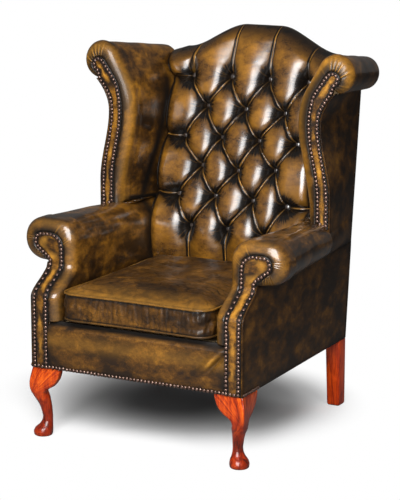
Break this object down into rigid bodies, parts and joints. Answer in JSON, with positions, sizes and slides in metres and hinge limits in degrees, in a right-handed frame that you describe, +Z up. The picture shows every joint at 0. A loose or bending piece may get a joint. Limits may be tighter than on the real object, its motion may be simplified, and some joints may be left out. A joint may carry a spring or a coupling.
{
  "type": "deep-buttoned wing armchair",
  "caption": "High-backed upholstered wing armchair with a deep-buttoned inside back, scrolled arms and wings, a loose seat cushion and cabriole front legs.",
  "frame": {"origin": "on the floor, under the middle of the whole chair's bounding box", "axes": "+Z up, -Y the way the sitter faces, +X the sitter's left"},
  "size_m": [0.8608, 0.7938, 1.103],
  "materials": {
    "cover_leather": "hand-rubbed antique gold leather, mottled with near-black brown, glossy",
    "facing_leather": "the same leather rubbed to a lighter gold, glossy",
    "leg_wood": "orange-red mahogany stain under gloss lacquer",
    "frame_timber": "bare sawn beech",
    "spring_steel": "dull drawn spring wire",
    "webbing": "woven jute strap",
    "deck_hessian": "hessian over felt",
    "black_cloth": "thin black dust cloth"
  },
  "bodies": {
    "chair": {"arm_pad_left": "cover_leather", "arm_pad_right": "cover_leather", "wing_pad_left": "cover_leather", "wing_pad_right": "cover_leather", "outside_arm_left": "cover_leather", "outside_arm_right": "cover_leather", "outside_wing_left": "cover_leather", "outside_wing_right": "cover_leather", "back_pad": "cover_leather", "front_border": "cover_leather", "outside_back": "cover_leather", "arm_facing_left": "facing_leather", "arm_facing_right": "facing_leather", "wing_facing_left": "facing_leather", "wing_facing_right": "facing_leather", "front_leg_left": "leg_wood", "front_leg_right": "leg_wood", "rear_leg_left": "leg_wood", "rear_leg_right": "leg_wood", "arm_post_left": "frame_timber", "arm_post_right": "frame_timber", "arm_rail_left": "frame_timber", "arm_rail_right": "frame_timber", "arm_tack_rail_left": "frame_timber", "arm_tack_rail_right": "frame_timber", "wing_post_left": "frame_timber", "wing_post_right": "frame_timber", "wing_rail_left": "frame_timber", "wing_rail_right": "frame_timber", "side_seat_rail_left": "frame_timber", "side_seat_rail_right": "frame_timber", "front_corner_block_left": "frame_timber", "front_corner_block_right": "frame_timber", "rear_corner_block_left": "frame_timber", "rear_corner_block_right": "frame_timber", "back_post_left": "frame_timber", "back_post_right": "frame_timber", "front_seat_rail": "frame_timber", "rear_seat_rail": "frame_timber", "lower_back_rail": "frame_timber", "crest_rail": "frame_timber", "seat_spring_1": "spring_steel", "seat_spring_2": "spring_steel", "seat_spring_3": "spring_steel", "seat_spring_4": "spring_steel", "seat_spring_5": "spring_steel", "back_webbing_1": "webbing", "back_webbing_2": "webbing", "back_webbing_3": "webbing", "seat_deck": "deck_hessian", "bottom_cloth": "black_cloth"},
    "cushion": {"seat_cushion": "cover_leather"}
  },
  "joints": [
    {"name": "cushion_lift", "type": "slide", "parent": "chair", "child": "cushion", "axis": [0, -0.7071, 0.7071], "range_m": [0, 0.4]}
  ]
}
